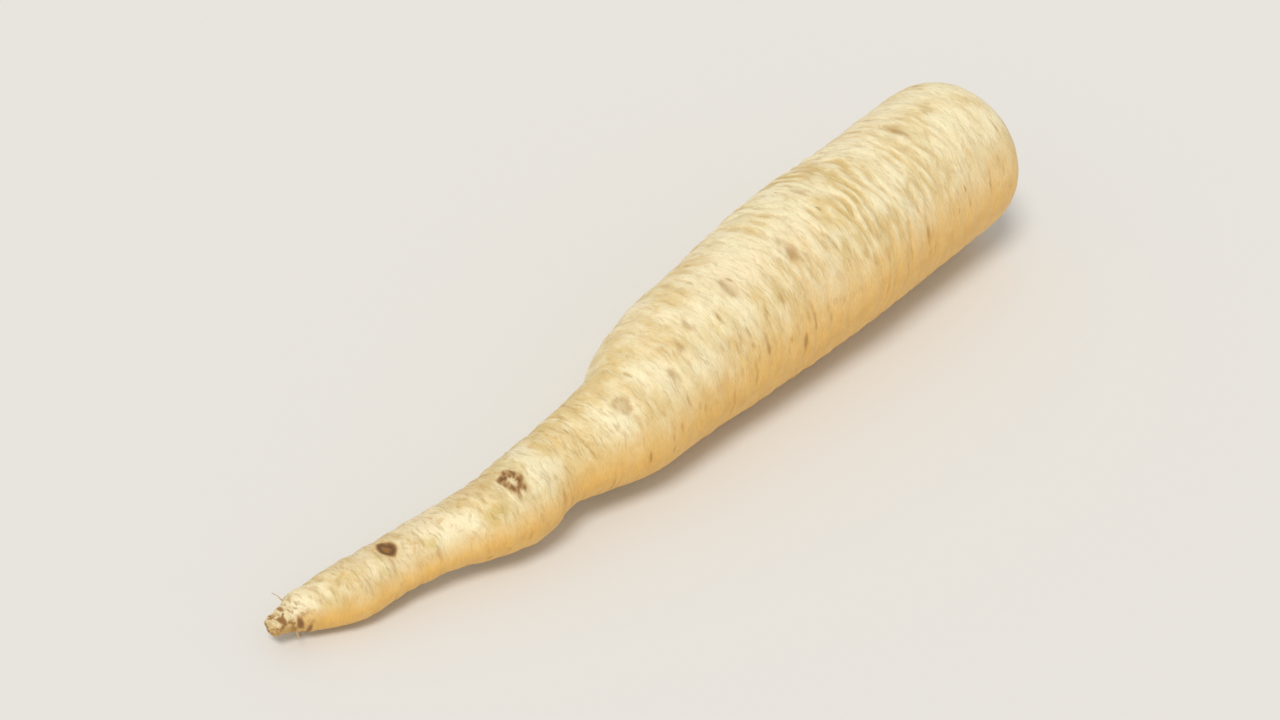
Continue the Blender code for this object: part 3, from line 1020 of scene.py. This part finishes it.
# Painted shade for the crown's crevices and hollows.
CREVICE_SHADE = (0.12, 0.065, 0.032)
CORE_BROWN = (0.34, 0.19, 0.09)
STUB_PALE = (0.86, 0.70, 0.43)
STUB_TAN = (0.60, 0.40, 0.19)
FIBRE_TAN = (0.66, 0.45, 0.20)
FIBRE_BROWN = (0.36, 0.19, 0.07)
# Where some of the skin's coats start and end, as distances from the tip.
TIP_COAT, TAIL_COAT = (0.002, 0.0095), (0.055, 0.090)
UPPER_COAT, SHOULDER_COAT = (0.165, 0.185), (0.2075, 0.2135)


def skin_material():
    """Cream skin in pale and warm patches, golden on the lower flank, with fine lines, flecks and scars.
    Painted
    light: highlights on the lit crests and streaks, shade in the creases and the groove, and warm bounce
    light as part of the lower flank's golden colour.
    """
    material = new_material(
        "parsley_root_skin",
        Subsurface_Weight=0.08,
        Subsurface_Radius=(1.0, 0.55, 0.25),
        Subsurface_Scale=0.001,
        Specular_IOR_Level=0.45,
    )
    tree = material.node_tree
    patches = mottle(tree, 75.0, 1.4, 5.0, 0.40, 0.62)
    warm = mottle(tree, 62.0, 1.5, 5.0, 0.50, 0.68)
    rosy = mottle(tree, 30.0, 1.0, 2.0, 0.46, 0.62)
    olive = mottle(tree, 125.0, 1.3, 4.0, 0.52, 0.66)
    spotty = mottle(tree, 330.0, 1.0, 3.0, 0.60, 0.68)
    blotches = mottle(tree, 230.0, 1.2, 4.0, 0.46, 0.62)
    tip_specks = mottle(tree, 850.0, 1.5, 4.0, 0.50, 0.62)
    lip_tan = mottle(tree, 300.0, 1.0, 4.0, 0.36, 0.60)
    lines = effect(tree, "streaks", Along=1500.0, Around=260.0, Wander=0.0022, Low=0.52, High=0.70)
    fine = effect(tree, "streaks", Along=3300.0, Around=800.0, Wander=0.0012, Low=0.42, High=0.66)
    # Painted highlights: pale glinting streaks across the root, kept to the lit side.
    glint_streaks = effect(tree, "streaks", Along=560.0, Around=170.0, Wander=0.0028, Low=0.52, High=0.66)
    flecks = effect(tree, "flecks", Along=420.0, Around=210.0, Wander=0.003, Size=0.24, Share=0.22)
    dashes = effect(tree, "flecks", Along=620.0, Around=150.0, Wander=0.002, Size=0.15, Share=0.08)
    raised, brown = painted(tree, "raised"), painted(tree, "brown")
    gold_and_bounce, flank = painted(tree, "gold_and_bounce_side"), painted(tree, "flank")
    from_tip = painted(tree, "from_tip")
    tip = outside(tree, between(tree, from_tip, *TIP_COAT))
    tail = outside(tree, between(tree, from_tip, *TAIL_COAT))
    # Painted light: the upper body past 165 mm, painted paler on its lit side.
    upper_light = between(tree, from_tip, *UPPER_COAT)
    shoulder = between(tree, from_tip, *SHOULDER_COAT)
    # Painted light: the lit side, away from the lower side and the flank, is where the painted highlights go.
    lit_side = times(tree, outside(tree, gold_and_bounce, 0.80), outside(tree, flank, 0.55))
    # Painted highlight: the crests, painted pale on the lit side.
    crest = between(tree, raised, 0.0, 0.9)
    # Painted shade: the creases, painted darker tan.
    crease_shade = between(tree, times(tree, raised, -1.0), 0.05, 1.0)
    lines = times(tree, lines, calculate(tree, "ADD", 1.0, times(tree, tail, 0.5)), outside(tree, gold_and_bounce, 0.8))
    # Lines and marks turn golden on the lower side too, partly with the painted warm bounce light there.
    line_colour = mix_colour(tree, gold_and_bounce, LINE_TAN, GOLD_SPOT)

    layers = (
        (rosy, 0.28, ROSY),
        (warm, 0.55, OCHRE),
        (times(tree, olive, tail), 0.55, OLIVE_TAN),
        (times(tree, spotty, tail), 0.42, GOLD_SPOT),
        (flank, 0.50, FLANK_CREAM),
        # Painted light in part: the lower flank is golden partly in its own tan and partly as painted warm
        # bounce light.
        (gold_and_bounce, 0.80, GOLD),
        (times(tree, blotches, flank), 0.22, GOLD_SPOT),
        # Painted highlight: pale glinting streaks on the lit side.
        (times(tree, glint_streaks, lit_side), 0.50, PALE),
        # Painted highlight on the crests of the lit side.
        (times(tree, crest, lit_side), 0.70, PALE),
        # Painted light: the upper body paler on its lit side.
        (times(tree, upper_light, lit_side), 0.26, PALE),
        # Painted shade in the creases.
        (crease_shade, 0.28, line_colour),
        (lines, 0.24, line_colour),
        (fine, 0.12, LINE_TAN),
        (shoulder, 0.45, SHOULDER_TAN),
        (painted(tree, "lip"), 0.85, mix_colour(tree, lip_tan, CROWN_TAN, CROWN_PALE)),
        (flecks, 0.30, LINE_TAN),
        (dashes, 0.45, FLECK_BROWN),
        (painted(tree, "tan"), 0.62, line_colour),
        (times(tree, tip, gold_and_bounce), 0.50, LINE_TAN),
        (times(tree, tip, tip_specks), 1.0, FLECK_BROWN),
        (between(tree, brown, 0.0, 0.6), 1.0, FLECK_BROWN),
        (between(tree, brown, 0.5, 1.1), 0.85, DARK_BROWN),
        # Painted shade in the groove round the crown.
        (painted(tree, "groove"), 0.8, DARK_BROWN),
    )
    rough = calculate(tree, "ADD", 0.43, times(tree, lines, 0.16))
    height = times(tree, fine_noise(tree, 2600.0, 2.0), 0.35)
    for mark in (times(tree, lines, 0.6), times(tree, fine, 0.30), dashes):
        height = calculate(tree, "SUBTRACT", height, mark)
    finish_shader(
        tree,
        Base_Color=coats(tree, mix_colour(tree, patches, CREAM, PALE), layers),
        Roughness=calculate(tree, "ADD", rough, times(tree, crease_shade, 0.2)),
        Normal=bumps(tree, height, 0.8, 0.16 * MM),
    )
    return material


def crown_material():
    """Tan, cream and rosy leaf bases and a brown core, with painted shade in the crevices and the core's
    hollows.
    """
    material = new_material("parsley_root_crown", Roughness=0.78, Specular_IOR_Level=0.3)
    tree = material.node_tree
    patches = mottle(tree, 240.0, 1.0, 4.0, 0.38, 0.62)
    rosy = mottle(tree, 130.0, 1.0, 3.0, 0.50, 0.62)
    specks = mottle(tree, 1100.0, 1.0, 3.0, 0.52, 0.66)
    core = painted(tree, "core")
    hollows = between(tree, times(tree, painted(tree, "fibrous"), -1.0), 0.0, 0.5)
    # Painted shade: the crevices and the hollows of the fibrous core, painted near-black.
    deep = calculate(tree, "MAXIMUM", painted(tree, "crevice"), times(tree, core, hollows))
    layers = (
        (rosy, 0.60, CROWN_ROSY),
        (specks, 0.40, CORE_BROWN),
        (core, 0.38, CORE_BROWN),
        (deep, 1.0, CREVICE_SHADE),
    )
    finish_shader(
        tree,
        Base_Color=coats(tree, mix_colour(tree, patches, CROWN_TAN, CROWN_PALE), layers),
        Normal=bumps(tree, fine_noise(tree, 2200.0, 3.0), 0.6, 0.12 * MM),
    )
    return material


def stub_material():
    """Pale fibrous leaf bases, browner towards their torn tops."""
    material = new_material("parsley_leaf_stub", Roughness=0.75)
    tree = material.node_tree
    patches = mottle(tree, 420.0, 0.4, 3.0, 0.40, 0.62)
    strands = mottle(tree, 1700.0, 0.12, 2.0, 0.45, 0.60)
    tips = between(tree, painted(tree, "risen"), 0.62, 1.0)
    layers = ((strands, 0.45, STUB_TAN), (tips, 0.45, CORE_BROWN))
    finish_shader(
        tree,
        Base_Color=coats(tree, mix_colour(tree, patches, STUB_TAN, STUB_PALE), layers),
        Normal=bumps(tree, strands, 0.7, 0.10 * MM),
    )
    return material


def fibre_material():
    material = new_material("parsley_fibre", Roughness=0.7)
    tree = material.node_tree
    patches = mottle(tree, 900.0, 1.0, 2.0, 0.40, 0.60)
    finish_shader(tree, Base_Color=mix_colour(tree, patches, FIBRE_TAN, FIBRE_BROWN))
    return material


# Stage, light and camera

CAMERA_PLACE = (-0.3765, -0.2619, 0.4108)
CAMERA_AIM = (-0.006, 0.006, 0.016)
CAMERA_ROLL = 7.1
CAMERA_LENS = 80.0
AMBIENT = 0.58
AMBIENT_COLOUR = (1.0, 0.98, 0.95)
KEY_FROM = (-0.45, -0.12, 0.88)
KEY_STRENGTH = 1.68
KEY_COLOUR = (1.0, 0.965, 0.90)
KEY_SOFTNESS = 20.0
FLOOR_COLOUR = (0.765, 0.76, 0.745)
FLOOR_SIZE = 40.0
SENSOR_WIDTH = 36.0
CLIP_START, CLIP_END = 0.01, 20.0


def make_stage():
    deselect_all()
    bpy.ops.mesh.primitive_plane_add(size=FLOOR_SIZE, location=(0.0, 0.0, 0.0))
    floor = bpy.context.object
    floor.name = "floor"
    matt = new_material("pale_floor", Base_Color=FLOOR_COLOUR, Roughness=1.0, Specular_IOR_Level=0.0)
    floor.data.materials.append(matt)


def lit_floor():
    """The colour of the open floor under both lights, which the space behind it takes so no edge shows."""
    from_key = KEY_STRENGTH * Vector(KEY_FROM).normalized().z / math.pi
    parts = zip(FLOOR_COLOUR, AMBIENT_COLOUR, KEY_COLOUR)
    return tuple(floor * (AMBIENT * sky + from_key * key) for floor, sky, key in parts)


def make_lights():
    world = bpy.data.worlds.new("studio")
    bpy.context.scene.world = world
    world.use_nodes = True
    tree = world.node_tree
    light = set_inputs(tree.nodes["Background"], Color=AMBIENT_COLOUR, Strength=AMBIENT)
    backdrop = add_node(tree, "ShaderNodeBackground", Color=lit_floor(), Strength=1.0)
    seen = tree.nodes.new("ShaderNodeLightPath").outputs["Is Camera Ray"]
    mixed = tree.nodes.new("ShaderNodeMixShader")
    for socket, value in zip(mixed.inputs, (seen, light.outputs[0], backdrop.outputs[0])):
        feed(tree, socket, value)
    feed(tree, tree.nodes["World Output"].inputs["Surface"], mixed.outputs[0])
    deselect_all()
    bpy.ops.object.light_add(type="SUN", location=KEY_FROM)
    key = bpy.context.object
    key.name = "key_light"
    key.data.energy = KEY_STRENGTH
    key.data.angle = math.radians(KEY_SOFTNESS)
    key.data.color = KEY_COLOUR
    key.rotation_euler = Vector(KEY_FROM).to_track_quat("Z", "Y").to_euler()


def make_camera():
    deselect_all()
    bpy.ops.object.camera_add(location=CAMERA_PLACE)
    camera = bpy.context.object
    camera.name = "photo_view"
    camera.rotation_mode = "QUATERNION"
    facing_aim = (Vector(CAMERA_AIM) - Vector(CAMERA_PLACE)).to_track_quat("-Z", "Y")
    camera.rotation_quaternion = facing_aim @ Quaternion((0.0, 0.0, 1.0), math.radians(CAMERA_ROLL))
    camera.data.lens = CAMERA_LENS
    camera.data.sensor_width = SENSOR_WIDTH
    camera.data.clip_start, camera.data.clip_end = CLIP_START, CLIP_END
    bpy.context.scene.camera = camera
    bpy.context.scene.view_settings.view_transform = "Standard"


make_skin(skin_material())
make_crown(crown_material())
make_stubs(stub_material())
make_fibres(fibre_material())
make_stage()
make_lights()
make_camera()
